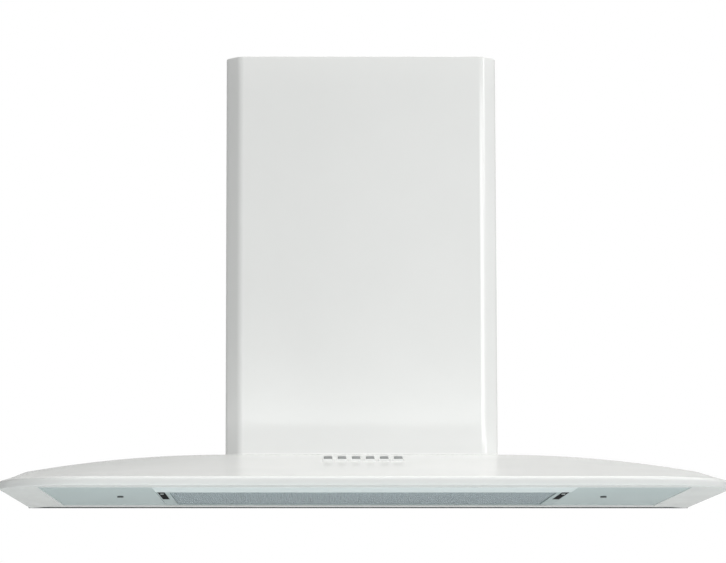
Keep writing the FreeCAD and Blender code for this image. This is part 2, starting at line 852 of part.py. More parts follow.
def scroll_wire():
    """The air side of the scroll in the YZ plane: three quarter turns, then the throat."""
    radius = cell("scroll_radius")
    step = cell("scroll_step")
    top = cell("box_top") - cell("cover_sheet")
    centres = [V(0, -cell("scroll_y"), cell("scroll_z"))]
    centres.append(centres[0] - V(0, step, 0))
    centres.append(centres[1] + V(0, 0, step))
    tongue = centres[0] + V(0, 0, radius)
    edges = []
    start = tongue
    for turn, centre in enumerate(centres):
        reach = radius + turn * step
        middle_angle = math.radians(45 - 90 * turn)
        end_angle = math.radians(-90 * turn)
        middle = centre + V(0, math.cos(middle_angle), math.sin(middle_angle)) * reach
        end = centre + V(0, math.cos(end_angle), math.sin(end_angle)) * reach
        edges.append(Part.Arc(start, middle, end).toShape())
        start = end
    edges.append(Part.makeLine(start, V(0, start.y, top)))
    edges.append(Part.makeLine(V(0, start.y, top), V(0, tongue.y, top)))
    edges.append(Part.makeLine(V(0, tongue.y, top), tongue))
    return Part.Wire(edges)


def wheel_axis():
    """The blower's axis runs through the middle of the scroll's three centres."""
    half_step = cell("scroll_step") / 2
    return V(0, -cell("scroll_y") - half_step, cell("scroll_z") + half_step)


WHEEL_Y = "-scroll_y - scroll_step / 2"
WHEEL_Z = "scroll_z + scroll_step / 2"


def blower_housing():
    """Two scroll halves that meet in the middle, each with a rolled inlet."""
    air = scroll_wire()
    skin = air.makeOffset2D(cell("scroll_wall"))
    top = cell("box_top") - cell("cover_sheet")
    for side, word in ((-1, "left"), (1, "right")):
        half = side * cell("scroll_half")
        wall = side * cell("scroll_wall")
        solid = Part.Face(skin).extrude(V(half, 0, 0))
        hollow = Part.Face(air).extrude(V(half - wall, 0, 0))
        above = Part.makeBox(4 * abs(half), 4 * abs(half), 4 * cell("scroll_wall"),
                             V(-2 * abs(half), -cell("box_front"), top))
        ring = Part.makeCylinder(cell("inlet_radius") + cell("scroll_wall"), cell("inlet_lip"),
                                 wheel_axis() + V(half, 0, 0), V(side, 0, 0))
        eye = Part.makeCylinder(cell("inlet_radius"), 2 * cell("scroll_half"),
                                wheel_axis() + V(side * cell("scroll_wall"), 0, 0), V(side, 0, 0))
        case = solid.fuse(ring).cut(hollow).cut(above).cut(eye)
        sub_part(feature(case.removeSplitter()), "blower_housing_" + word)


def wheel_blades():
    """The ring of forward-curved blades, each an extruded arc section."""
    outer = cell("wheel_radius") - cell("wheel_ring") / 4
    inner = cell("wheel_radius") - cell("blade_depth") + cell("wheel_ring") / 4
    middle = (inner + outer) / 2
    half_sheet = cell("blade_sheet") / 2
    lean = math.radians(cell("blade_lean"))
    start = wheel_axis() - V(cell("wheel_half"), 0, 0)

    def spot(radius, turn):
        return start + V(0, math.cos(turn), math.sin(turn)) * radius

    blades = []
    for index in range(int(cell("blade_count"))):
        angle = 2 * math.pi * index / cell("blade_count")
        sides = []
        for shift in (-half_sheet, half_sheet):
            bend = [spot(radius, angle + turn + shift / radius)
                    for radius, turn in ((inner, 0), (middle, lean / 3), (outer, lean))]
            sides.append(Part.Arc(*bend).toShape())
        ends = [Part.makeLine(*[side.Vertexes[end].Point for side in sides]) for end in (0, 1)]
        face = Part.Face(Part.Wire(Part.__sortEdges__(sides + ends)))
        blades.append(face.extrude(V(2 * cell("wheel_half"), 0, 0)))
    return feature(Part.makeCompound(blades), "blades")


def impeller():
    """A double-inlet wheel: a middle disc with a hub, blades and two end rings."""
    centre = (WHEEL_Y, WHEEL_Z)
    disc = cylinder("wheel_radius", "wheel_ring", ("-wheel_ring / 2",) + centre, "X")
    boss = cylinder("hub_radius", "hub_end", ("0",) + centre, "X")
    rings = []
    for start in ("-wheel_half", "wheel_half - wheel_ring"):
        rim = cylinder("wheel_radius", "wheel_ring", (start,) + centre, "X")
        eye = cylinder("wheel_radius - blade_depth", "3 * wheel_ring",
                       (start + " - wheel_ring",) + centre, "X")
        rings.append(cut(rim, eye))
    bore = cylinder("shaft_radius", "hub_end + 4 * wheel_ring", ("-2 * wheel_ring",) + centre, "X")
    sub_part(cut(fuse(disc, boss, wheel_blades(), *rings), bore), "impeller")


def motor():
    """The motor sits in the left inlet, and its shaft carries the wheel."""
    centre = (WHEEL_Y, WHEEL_Z)
    body = new_body("stator")
    can = sketch_on(body, "YZ_Plane", "-motor_outer")
    circle(can, "motor_radius", centre)
    pad(body, can, "motor_outer - motor_inner")
    rounded(body, "motor_edge", lambda edge: edge.BoundBox.XLength < TOLERANCE)
    bore = sketch_on(body, "YZ_Plane", "-motor_outer")
    circle(bore, "shaft_radius + running_gap", centre)
    pocket(body, bore, "motor_outer")
    sub_part(body, "motor_body")

    shaft = cylinder("shaft_radius", "motor_outer + hub_end", ("-motor_outer - arm_sheet",) + centre, "X")
    sub_part(group(shaft), "motor_shaft")
    motor_bracket()


def motor_bracket():
    """A plate behind the motor with three arms that bend forward to the left scroll half."""
    reach = cell("arm_reach")
    width = cell("arm_width")
    thick = cell("arm_sheet")
    start = -cell("motor_outer") - thick
    along = V(1, 0, 0)
    spider = Part.makeCylinder(cell("motor_radius") / 2, thick, wheel_axis() + V(start, 0, 0), along)
    for arm_number in range(3):
        arm = Part.makeBox(thick, width, reach, V(start, -width / 2, 0))
        leg = Part.makeBox(-start - cell("scroll_half"), width, thick,
                           V(start, -width / 2, reach - thick))
        arm = arm.fuse(leg)
        arm.rotate(V(0, 0, 0), along, 120 * arm_number)
        arm.translate(wheel_axis())
        spider = spider.fuse(arm)
    hole = Part.makeCylinder(cell("hub_radius") / 2 + cell("running_gap"), 4 * thick,
                             wheel_axis() + V(start - thick, 0, 0), along)
    sub_part(feature(spider.cut(hole).removeSplitter()), "motor_bracket")


def capacitor():
    """The motor's run capacitor in its clamp on the box's right wall."""
    wall = "box_half - cover_sheet"
    at = (wall + " - capacitor_radius - cover_sheet", "-capacitor_y")
    sub_part(group(cylinder("capacitor_radius", "capacitor_length", at + ("capacitor_z",))), "capacitor")
    low = "capacitor_z + capacitor_length / 3"
    tall = "capacitor_length / 4"
    band = cylinder("capacitor_radius + cover_sheet", tall, at + (low,))
    tab = box((wall + " - cover_sheet", wall),
              ("-capacitor_y - 1.5 * capacitor_radius", "-capacitor_y + 1.5 * capacitor_radius"),
              (low, low + " + " + tall))
    inside = cylinder("capacitor_radius", "capacitor_length", at + ("capacitor_z",))
    sub_part(cut(fuse(band, tab), inside), "capacitor_clamp")


# ---------------------------------------------------------------- outlet

def outlet_collar():
    """The duct collar on its square flange, with the ledge that the flaps close on."""
    centre = ("0", "-collar_y")
    low = "box_top"
    flange = box(("-collar_flange_half", "collar_flange_half"),
                 ("-collar_y - collar_flange_half", "-collar_y + collar_flange_half"),
                 (low, low + " + collar_wall"))
    tube = cylinder("collar_radius", "collar_top - box_top", centre + (low,))
    ledge_top = "flap_level - knuckle_radius - running_gap"
    below = cylinder("collar_radius - collar_wall - stop_ledge", ledge_top + " - box_top + collar_wall",
                     centre + (low + " - collar_wall",))
    lower = cylinder("collar_radius - collar_wall", ledge_top + " - box_top",
                     centre + (low + " - collar_wall",))
    upper = cylinder("collar_radius - collar_wall", "collar_top - box_top", centre + (ledge_top,))
    pin_holes = cylinder("pin_radius + running_gap", "2 * collar_radius + 2 * collar_wall",
                         ("0", "-collar_y - collar_radius - collar_wall", "flap_level"), "Y")
    sub_part(cut(fuse(flange, tube), below, lower, upper, pin_holes), "outlet_collar")


def flaps():
    """Two half-round backdraft flaps whose knuckles share one pin."""
    radius = cell("flap_radius")
    knuckle = cell("knuckle_radius")
    thick = cell("flap_sheet")
    gap = cell("knuckle_gap")
    sheet_low = cell("running_gap") - knuckle
    pitch = (cell("knuckle_span") + gap) / cell("knuckle_count")
    along = V(0, 1, 0)
    for side, word in ((-1, "left"), (1, "right")):
        disc = Part.makeCylinder(radius, thick, V(0, 0, sheet_low))
        edge = knuckle + gap
        keep = Part.makeBox(radius, 2 * radius, thick,
                            V(edge if side > 0 else -edge - radius, -radius, sheet_low))
        flap = disc.common(keep)
        own = range(1 if side > 0 else 0, int(cell("knuckle_count")), 2)
        for number in own:
            low = number * pitch - cell("knuckle_span") / 2
            barrel = Part.makeCylinder(knuckle, pitch - gap, V(0, low, 0), along)
            reach = edge + 2 * gap
            web = Part.makeBox(reach, pitch - gap, thick, V(0 if side > 0 else -reach, low, sheet_low))
            flap = flap.fuse(barrel.fuse(web))
        bore = Part.makeCylinder(cell("pin_radius") + cell("running_gap"), 2 * radius,
                                 V(0, -radius, 0), along)
        flap = flap.cut(bore).removeSplitter()
        sub_part(feature(flap), "flap_" + word, "0", "-collar_y", "flap_level")
    pin = cylinder("pin_radius", "2 * collar_radius - collar_wall",
                   ("0", "-collar_y - collar_radius + collar_wall / 2", "flap_level"), "Y")
    sub_part(group(pin), "flap_pin")


# ---------------------------------------------------------------- supply

def terminal_box():
    """The supply box on the left of the blower box, with its cover, block and gland."""
    near = "-box_half"
    far = "-box_half - terminal_depth"
    depth = ("-terminal_front", "-terminal_back")
    level = ("terminal_low", "terminal_high")
    tray = box((far, near), depth, level)
    inside = box((far + " - terminal_wall", near + " - terminal_wall"),
                 ("terminal_wall - terminal_front", "-terminal_back - terminal_wall"),
                 ("terminal_low + terminal_wall", "terminal_high - terminal_wall"))
    middle = ("-box_half - terminal_depth / 2", "-(terminal_front + terminal_back) / 2")
    neck_radius = "gland_bore + gland_wall"
    entry = cylinder(neck_radius, "4 * terminal_wall", middle + ("terminal_high - 2 * terminal_wall",))
    sub_part(cut(tray, inside, entry), "terminal_box")
    sub_part(group(box((far + " - terminal_wall", far), depth, level)), "terminal_cover")
    block = box((near + " - block_height - terminal_wall", near + " - terminal_wall"),
                ("block_inset - terminal_front", "-terminal_back - block_inset"),
                ("terminal_low + block_inset", "terminal_low + 3 * block_inset"))
    sub_part(group(block), "terminal_block")
    neck = cylinder(neck_radius, "gland_length", middle + ("terminal_high - terminal_wall",))
    nut = cylinder("gland_radius", "gland_length / 2", middle + ("terminal_high",))
    bore = cylinder("gland_bore", "2 * gland_length", middle + ("terminal_high - 2 * terminal_wall",))
    sub_part(cut(fuse(neck, nut), bore), "cable_gland")


# ---------------------------------------------------------------- chimney

# a bevel at 45 degrees gets shorter by this share of the inset of its outline
BEVEL_SHARE = 2 - math.sqrt(2)


def chimney_body(name, shrink, low, high, rear):
    """A cover open to the wall: bevelled front corners and two narrow rear returns."""
    body = new_body(name)

    def outline(sketch, inset):
        half = "(chimney_width / 2 - %s - %s)" % (shrink, inset)
        front = "(chimney_depth - %s - %s)" % (shrink, inset)
        bevel = "(corner_bevel - %.9f * (%s + %s))" % (BEVEL_SHARE, shrink, inset)
        back = "-(%s) - (%s)" % (rear, inset)
        polygon(sketch, [("-" + half, back), ("-" + half, "%s - %s" % (bevel, front)),
                         ("%s - %s" % (bevel, half), "-" + front), ("%s - %s" % (half, bevel), "-" + front),
                         (half, "%s - %s" % (bevel, front)), (half, back)])

    outer = sketch_on(body, "XY_Plane", low)
    outline(outer, "0")
    pad(body, outer, "(%s) - (%s)" % (high, low))
    upright = cell("chimney_depth")
    rounded(body, "bend_radius",
            lambda edge: edge.BoundBox.ZLength > upright and edge.BoundBox.YMax < -upright / 2)
    inner = sketch_on(body, "XY_Plane", low)
    outline(inner, "cover_sheet")
    pocket(body, inner, "(%s) - (%s)" % (high, low))
    rounded(body, "bend_radius - cover_sheet",
            lambda edge: edge.BoundBox.ZLength > upright and is_inner_bend(edge, shrink))
    gap = sketch_on(body, "XY_Plane", low)
    half_gap = "(chimney_width / 2 - %s - rear_return)" % shrink
    rectangle(gap, "-" + half_gap, "-(%s) - 2 * cover_sheet" % rear, half_gap, "cover_sheet")
    pocket(body, gap, "(%s) - (%s)" % (high, low))
    return body


def is_inner_bend(edge, shrink):
    """True for the upright edges where the inside faces of a cover meet at the front."""
    point = edge.Vertexes[0].Point
    inset = cell("cover_sheet")
    if shrink != "0":
        inset += cell("cover_sheet") + cell("slide_gap")
    half = cell("chimney_width") / 2 - inset
    front = cell("chimney_depth") - inset
    bevel = cell("corner_bevel") - BEVEL_SHARE * inset
    for x, y in ((half, bevel - front), (half - bevel, -front)):
        if abs(abs(point.x) - x) < TOLERANCE and abs(point.y - y) < TOLERANCE:
            return True
    return False


def chimney_covers():
    sub_part(chimney_body("lower_cover", "0", "crown_height", "chimney_top", "0"), "lower_chimney")
    upper = chimney_body("upper_cover", "(cover_sheet + slide_gap)", "upper_bottom", "upper_top",
                         "cover_sheet + slide_gap")
    sub_part(upper, "upper_chimney")


def chimney_fixings():
    """Feet that hold the lower cover on the canopy, and the upper cover's wall bracket."""
    feet = []
    inner = "chimney_width / 2 - cover_sheet"
    depth = ("-foot_front", "foot_width - foot_front")
    for side in (-1, 1):
        plate = mirrored(side, "box_half + box_flange + slide_gap", inner)
        post = mirrored(side, inner + " - cover_sheet", inner)
        feet.append(fuse(box(plate, depth, ("crown_height", "crown_height + cover_sheet")),
                         box(post, depth, ("crown_height", "crown_height + foot_rise"))))
    sub_part(group(*feet), "chimney_feet")

    reach = "(chimney_width / 2 - 2 * cover_sheet - slide_gap)"
    between = "(chimney_width / 2 - 4 * cover_sheet - slide_gap - rear_return)"
    behind = "-2 * cover_sheet - slide_gap"
    floor = ("bracket_bottom", "bracket_bottom + frame_plate")
    full = ("bracket_bottom", "bracket_top")
    back = box(("-" + between, between), ("-frame_plate", "0"), full)
    shelf = box(("-" + reach, reach), ("-bracket_depth", behind), floor)
    bridge = box(("-" + between, between), (behind, "-frame_plate"), floor)
    ends = [box(mirrored(side, reach + " - frame_plate", reach), ("-bracket_depth", behind), full)
            for side in (-1, 1)]
    middle = "(bracket_bottom + bracket_top) / 2"
    holes = [cylinder("wall_hole_radius", "2 * bracket_depth",
                      (side + "bracket_hole_pitch / 2", "-bracket_depth", middle), "Y")
             for side in ("-", "")]
    sub_part(cut(fuse(back, bridge, shelf, *ends), *holes), "chimney_bracket")


# ---------------------------------------------------------------- screws

def collar_screws():
    """The four screws that hold the duct collar on the box."""
    corner = "(collar_flange_half - screw_head)"
    collar = []
    for side_x in "-+":
        for side_y in "-+":
            place = ("0 %s %s" % (side_x, corner), "-collar_y %s %s" % (side_y, corner))
            collar.append(cylinder("screw_head", "screw_head_height", place + ("box_top + collar_wall",)))
    sub_part(group(*collar), "collar_screws")


# ---------------------------------------------------------------- build

canopy_shell()
underside_panel()
panel_fixings()
cross_rail()
lamp_cover()
lamp_shield()
lamps()
filter_frame()
filter_layers()
filter_hinges()
latches()
push_buttons()
button_bezels()
switch_block()
wall_frame()
blower_box()
blower_housing()
impeller()
motor()
capacitor()
outlet_collar()
flaps()
terminal_box()
chimney_covers()
chimney_fixings()
collar_screws()

doc.recompute()

for item in doc.Objects:
    if "Invalid" in item.State or "Error" in item.State:
        raise RuntimeError("%s (%s) did not build" % (item.Name, item.Label))
for item in sub_parts:
    if item.Shape.isNull() or not item.Shape.isValid():
        raise RuntimeError("%s has no valid shape" % item.Label)

os.makedirs("parts", exist_ok=True)
for item in sub_parts:
    item.Shape.exportStep("parts/%s.step" % item.Label)
    print("%-24s %8.1f cm3  %d solids" % (item.Label, item.Shape.Volume / 1000, len(item.Shape.Solids)))
print(len(sub_parts), "sub-parts")
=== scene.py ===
import bpy
import bmesh
import math
from mathutils import Matrix, Vector

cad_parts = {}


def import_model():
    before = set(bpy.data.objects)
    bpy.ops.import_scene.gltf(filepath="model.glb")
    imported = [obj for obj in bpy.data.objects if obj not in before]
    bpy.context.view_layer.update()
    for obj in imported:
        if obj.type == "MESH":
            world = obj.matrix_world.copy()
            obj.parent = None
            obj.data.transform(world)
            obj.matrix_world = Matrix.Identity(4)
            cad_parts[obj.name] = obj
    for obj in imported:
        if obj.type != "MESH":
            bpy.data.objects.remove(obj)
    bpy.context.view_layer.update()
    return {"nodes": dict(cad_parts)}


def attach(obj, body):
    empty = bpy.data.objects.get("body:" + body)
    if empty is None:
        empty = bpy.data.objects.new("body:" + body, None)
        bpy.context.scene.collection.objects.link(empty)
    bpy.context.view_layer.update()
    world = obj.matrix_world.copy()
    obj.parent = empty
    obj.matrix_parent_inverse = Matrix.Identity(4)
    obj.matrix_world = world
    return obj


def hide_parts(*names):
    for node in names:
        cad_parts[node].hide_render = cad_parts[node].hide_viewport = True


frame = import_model()

# All lengths below are millimetres in hood coordinates: X to the right, Y = 0 on the wall,
# Z = 0 on the canopy's underside. The frame's origin is MOUNT_HEIGHT above that.
MM = 0.001
MOUNT_HEIGHT = 190
WIDTH, DEPTH = 900, 500
CORNER = 115
LIP = 10
CROWN, DROP, SHOULDER = 54, 26, 24
CHIMNEY_HALF, CHIMNEY_DEPTH, CHIMNEY_TOP = 175, 260, 572
BEVEL, BEND = 18, 13
SHEET = 1.5
COVER_SHEET = 1.2
SIDE_BORDER, FRONT_BORDER, REAR_BORDER = 53, 51, 60


def at(x, y, z):
    """A point given in hood millimetres, in the frame's metres."""
    return Vector((x, y, z - MOUNT_HEIGHT)) * MM


# ---------------------------------------------------------------- materials

class Nodes:
    """A small wrapper that keeps node building short."""

    def __init__(self, name):
        self.material = bpy.data.materials.new(name)
        self.material.use_nodes = True
        self.tree = self.material.node_tree
        self.shader = self.tree.nodes["Principled BSDF"]
        self.place = self.add("ShaderNodeTexCoord").outputs["Object"]

    def add(self, kind, **values):
        node = self.tree.nodes.new(kind)
        for key, value in values.items():
            if hasattr(node, key):
                setattr(node, key, value)
            else:
                node.inputs[key.replace("_", " ")].default_value = value
        return node

    def link(self, source, target):
        self.tree.links.new(source, target)

    def scaled(self, x, y, z):
        """Object coordinates stretched along each axis, in patterns per metre."""
        node = self.add("ShaderNodeMapping")
        node.inputs["Scale"].default_value = (x, y, z)
        self.link(self.place, node.inputs["Vector"])
        return node.outputs["Vector"]

    def noise(self, vector, scale=1.0, detail=3.0, roughness=0.5):
        node = self.add("ShaderNodeTexNoise", Scale=scale, Detail=detail, Roughness=roughness)
        self.link(vector, node.inputs["Vector"])
        return node.outputs["Fac"]

    def ramp(self, source, stops):
        node = self.add("ShaderNodeValToRGB")
        while len(node.color_ramp.elements) < len(stops):
            node.color_ramp.elements.new(0.5)
        for element, (position, colour) in zip(node.color_ramp.elements, stops):
            element.position = position
            element.color = (*colour, 1)
        self.link(source, node.inputs["Fac"])
        return node.outputs["Color"]

    def spread(self, source, low, high):
        """Map 0..1 onto low..high."""
        node = self.add("ShaderNodeMapRange")
        node.inputs["To Min"].default_value = low
        node.inputs["To Max"].default_value = high
        self.link(source, node.inputs["Value"])
        return node.outputs["Result"]

    def bump(self, height, strength, distance):
        node = self.add("ShaderNodeBump", Strength=strength, Distance=distance)
        self.link(height, node.inputs["Height"])
        self.link(node.outputs["Normal"], self.shader.inputs["Normal"])

    def set(self, **values):
        for key, value in values.items():
            self.shader.inputs[key.replace("_", " ")].default_value = value


def tint(colour, amount):
    """A darker or paler version of a colour."""
    return tuple(min(1.0, part * amount) for part in colour)


def painted(name, colour, gloss, orange_peel=0.25, mottle=0.02, specular=0.5, dirt=0.04):
    """Sprayed paint: soft tone changes, an orange-peel skin and uneven gloss."""
    n = Nodes(name)
    soft = n.noise(n.scaled(4, 4, 4), detail=4)
    n.link(n.ramp(soft, [(0.3, tint(colour, 1 - mottle)), (0.7, tint(colour, 1 + mottle))]),
           n.shader.inputs["Base Color"])
    smear = n.noise(n.scaled(9, 9, 25), detail=5)
    n.link(n.spread(smear, gloss - dirt, gloss + dirt), n.shader.inputs["Roughness"])
    n.bump(n.noise(n.scaled(420, 420, 420), detail=1), orange_peel, 0.00002)
    n.set(Specular_IOR_Level=specular)
    return n.material


def moulded(name, colour, gloss, grain=0.3, scale=900, specular=0.5, mottle=0.06):
    """Moulded plastic with a fine grain."""
    n = Nodes(name)
    cloud = n.noise(n.scaled(30, 30, 30), detail=4)
    n.link(n.ramp(cloud, [(0.3, tint(colour, 1 - mottle)), (0.7, tint(colour, 1 + mottle))]),
           n.shader.inputs["Base Color"])
    fine = n.noise(n.scaled(scale, scale, scale), detail=2)
    n.link(n.spread(fine, gloss - 0.06, gloss + 0.06), n.shader.inputs["Roughness"])
    n.bump(fine, grain, 0.00003)
    n.set(Specular_IOR_Level=specular)
    return n.material


def brushed(name, colour, gloss, stretch=(6, 900, 900), grain=0.25):
    """Rolled or brushed metal with streaks along one axis."""
    n = Nodes(name)
    streak = n.noise(n.scaled(*stretch), detail=3)
    n.link(n.ramp(streak, [(0.25, tint(colour, 0.86)), (0.75, tint(colour, 1.1))]),
           n.shader.inputs["Base Color"])
    n.link(n.spread(streak, gloss - 0.08, gloss + 0.1), n.shader.inputs["Roughness"])
    n.bump(streak, grain, 0.00002)
    n.set(Metallic=1.0)
    return n.material


def galvanised(name, colour):
    """Zinc-coated sheet with its crystal spangle."""
    n = Nodes(name)
    cells = n.add("ShaderNodeTexVoronoi", Scale=230.0)
    n.link(n.place, cells.inputs["Vector"])
    n.link(n.ramp(cells.outputs["Color"], [(0.2, tint(colour, 0.92)), (0.8, tint(colour, 1.06))]),
           n.shader.inputs["Base Color"])
    n.link(n.spread(cells.outputs["Distance"], 0.32, 0.46), n.shader.inputs["Roughness"])
    n.bump(n.noise(n.scaled(260, 260, 260)), 0.15, 0.00002)
    n.set(Metallic=1.0)
    return n.material


ENAMEL = (0.85, 0.86, 0.85)
enamel = painted("white_enamel", ENAMEL, 0.16)
cover_enamel = painted("cover_enamel", ENAMEL, 0.2)
panel_paint = painted("panel_paint", (0.535, 0.61, 0.615), 0.42, specular=0.25)
frame_paint = painted("filter_frame_paint", (0.475, 0.55, 0.555), 0.42, specular=0.25)
grille_metal = painted("grille_metal", (0.575, 0.635, 0.665), 0.5, specular=0.2, orange_peel=0.4)
mesh_metal = brushed("mesh_metal", (0.62, 0.65, 0.67), 0.45, stretch=(500, 500, 500))
lamp_plastic = moulded("lamp_plastic", (0.795, 0.85, 0.86), 0.5, specular=0.25, mottle=0.02)
black_plastic = moulded("black_plastic", (0.012, 0.012, 0.013), 0.8, specular=0.05)
thumb_plastic = moulded("thumb_plastic", (0.62, 0.65, 0.65), 0.5)
button_plastic = moulded("button_plastic", (0.34, 0.35, 0.35), 0.5, specular=0.25)
bezel_plastic = moulded("bezel_plastic", (0.9, 0.91, 0.9), 0.25, grain=0.1)
grey_plastic = moulded("grey_plastic", (0.24, 0.26, 0.27), 0.55)
white_block = moulded("block_plastic", (0.78, 0.77, 0.72), 0.5)
board = moulded("board", (0.05, 0.16, 0.08), 0.35, scale=500)
zinc = galvanised("zinc_sheet", (0.62, 0.64, 0.66))
steel = brushed("turned_steel", (0.55, 0.56, 0.58), 0.3)
dark_steel = moulded("dark_screw", (0.1, 0.11, 0.11), 0.4)
motor_metal = brushed("motor_metal", (0.5, 0.51, 0.52), 0.4, stretch=(60, 400, 400))
brass = brushed("lamp_cap_metal", (0.72, 0.66, 0.5), 0.3, stretch=(900, 40, 40))
# Near-black colour painted as shade on the underside's band along the wall.
painted_wall_shade = moulded("painted_wall_shade", (0.05, 0.06, 0.06), 0.9, specular=0.02)
ceramic = moulded("ceramic", (0.8, 0.79, 0.75), 0.35, grain=0.1)


def frosted_glass():
    """The lamps' milky glass, a little cloudy."""
    n = Nodes("frosted_glass")
    cloud = n.noise(n.scaled(60, 60, 60), detail=3)
    n.link(n.ramp(cloud, [(0.3, (0.86, 0.86, 0.83)), (0.7, (0.93, 0.93, 0.9))]),
           n.shader.inputs["Base Color"])
    n.link(n.spread(cloud, 0.3, 0.45), n.shader.inputs["Roughness"])
    n.set(Transmission_Weight=0.35, IOR=1.45)
    return n.material


lamp_glass = frosted_glass()

FINISH = {
    "underside_panel": panel_paint, "panel_posts": steel, "panel_knob_screws": dark_steel,
    "cross_rail": zinc, "lamp_cover": lamp_plastic, "lamp_shield": zinc,
    "lamp_bulb_left": lamp_glass, "lamp_bulb_right": lamp_glass,
    "lamp_cap_left": brass, "lamp_cap_right": brass,
    "lamp_holder_left": ceramic, "lamp_holder_right": ceramic,
    "filter_frame": frame_paint, "filter_grille": grille_metal, "filter_mesh": mesh_metal,
    "filter_retainer": grille_metal, "filter_hinge_pins": steel,
    "hinge_ear_left": zinc, "hinge_ear_right": zinc,
    "latch_housing_left": black_plastic, "latch_housing_right": black_plastic,
    "latch_slider_left": thumb_plastic, "latch_slider_right": thumb_plastic,
    "button_bezels": bezel_plastic, "button_block": grey_plastic, "control_board": board,
    "push_switches": black_plastic, "wall_frame": zinc, "blower_box": zinc,
    "blower_housing_left": grey_plastic, "blower_housing_right": grey_plastic,
    "impeller": zinc, "motor_body": motor_metal, "motor_shaft": steel, "motor_bracket": zinc,
    "capacitor": motor_metal, "capacitor_clamp": zinc, "outlet_collar": grey_plastic,
    "flap_left": grey_plastic, "flap_right": grey_plastic, "flap_pin": steel,
    "terminal_box": grey_plastic, "terminal_cover": grey_plastic, "terminal_block": white_block,
    "cable_gland": black_plastic, "lower_chimney": cover_enamel, "upper_chimney": cover_enamel,
    "chimney_bracket": zinc, "chimney_feet": zinc, "collar_screws": steel, "canopy_shell": enamel,
}
for index in range(1, 7):
    FINISH["push_button_%d" % index] = button_plastic
for name, node in frame["nodes"].items():
    node.data.materials.clear()
    node.data.materials.append(FINISH[name])


# ---------------------------------------------------------------- mesh helpers

def piece(name, mesh, material, body, *nodes):
    """A new object that rides on a body and stands for the given CAD nodes."""
    item = bpy.data.objects.new(name, mesh)
    bpy.context.scene.collection.objects.link(item)
    if material:
        mesh.materials.append(material)
    if nodes:
        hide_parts(*nodes)
    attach(item, body)
    return item


def mesh_from(name, points, faces):
    """A mesh of the given points, in the frame's metres."""
    mesh = bpy.data.meshes.new(name)
    mesh.from_pydata([tuple(point) for point in points], [], faces)
    mesh.validate()
    return mesh


def shade(mesh, angle):
    """Smooth shading with creases above the given angle."""
    mesh.shade_smooth()
    mesh.set_sharp_from_angle(angle=math.radians(angle))


# ---------------------------------------------------------------- canopy

def ridge_height(x):
    """The ridge in front of the chimney, which falls and then turns down towards each end."""
    half = WIDTH / 2
    along = max(0, abs(x) - CHIMNEY_HALF) / (half - CHIMNEY_HALF)
    edge = max(0, 1 - (half - abs(x)) / SHOULDER)
    return LIP + (CROWN - LIP - DROP * along ** 2) * math.sqrt(max(0, 1 - edge ** 2))


def fold_y(x):
    """The line of the fold round the front, with its plan corners."""
    past = max(0, abs(x) - (WIDTH / 2 - CORNER))
    return -DEPTH + CORNER - math.sqrt(max(0, CORNER ** 2 - past ** 2))


def edge_distance(x, y):
    """How far a plan point lies inside the canopy's outline."""
    over_x = abs(x) - (WIDTH / 2 - CORNER)
    over_y = -y - (DEPTH - CORNER)
    if over_x > 0 and over_y > 0:
        return max(0, CORNER - math.hypot(over_x, over_y))
    return max(0, min(WIDTH / 2 - abs(x), DEPTH + y))


FOLD_RADIUS = 3
RIDGE_BLEND = 4
LIP_UNDERCUT = 1
# Width in millimetres of the underside's band along the wall that is painted near-black as shade.
WALL_SHADE_BAND = 26

# How finely the canopy's surface is divided: points across, then rows from the fold to the wall.
COLUMNS = 240
FOLD_STEPS = (0, 0.1, 0.3, 0.6, 1.0, 1.5, 2.1, 2.8, 3.6, 5, 8, 14, 24)
SLOPE_ROWS = 24
RIDGE_ROWS = 8
FLAT_ROWS = (-200, -150, -100, -50, 0)

# The lip below the fold: height above the underside, and how far it has turned inwards.
LIP_PROFILE = ((LIP - FOLD_RADIUS - 0.6, 0.05), (1.6, LIP_UNDERCUT), (0.9, LIP_UNDERCUT + 0.2),
               (0.4, LIP_UNDERCUT + 0.6), (0.1, LIP_UNDERCUT + 1.1), (0, LIP_UNDERCUT + 1.7))
SIDE_TOUCH = 0.01
WELD = 0.00002


def crown_height(x, y):
    """The canopy's outer surface over the plan: slope, soft ridge and soft fold."""
    start = fold_y(x)
    run = -CHIMNEY_DEPTH - start
    top = ridge_height(x)
    past = y + CHIMNEY_DEPTH
    slope = (top - LIP) / run
    if past <= -RIDGE_BLEND:
        height = top + slope * past
    elif past < RIDGE_BLEND:
        height = top - slope * (RIDGE_BLEND - past) ** 2 / (4 * RIDGE_BLEND)
    else:
        height = top
    inside = edge_distance(x, y)
    if inside < FOLD_RADIUS:
        height -= FOLD_RADIUS - math.sqrt(FOLD_RADIUS ** 2 - (FOLD_RADIUS - inside) ** 2)
    return height


def canopy_top():
    """The top surface as a grid of points, one row of them from the fold to the wall per column."""
    ridge_start = -CHIMNEY_DEPTH - RIDGE_BLEND
    behind = [ridge_start + RIDGE_BLEND * 2 * k / RIDGE_ROWS for k in range(RIDGE_ROWS + 1)]
    behind += FLAT_ROWS
    points = []
    for i in range(COLUMNS + 1):
        x = -WIDTH / 2 * math.cos(math.pi * i / COLUMNS)
        start = fold_y(x)
        line = [start + step for step in FOLD_STEPS]
        reach = behind[0] - line[-1]
        line += [line[-1] + reach * k / SLOPE_ROWS for k in range(1, SLOPE_ROWS)]
        line += behind
        points += [at(x, y, crown_height(x, y)) for y in line]
    rows = len(points) // (COLUMNS + 1)
    faces = []
    for i in range(COLUMNS):
        for j in range(rows - 1):
            a = i * rows + j
            faces.append((a, a + rows, a + rows + 1, a + 1))
    return points, faces, rows


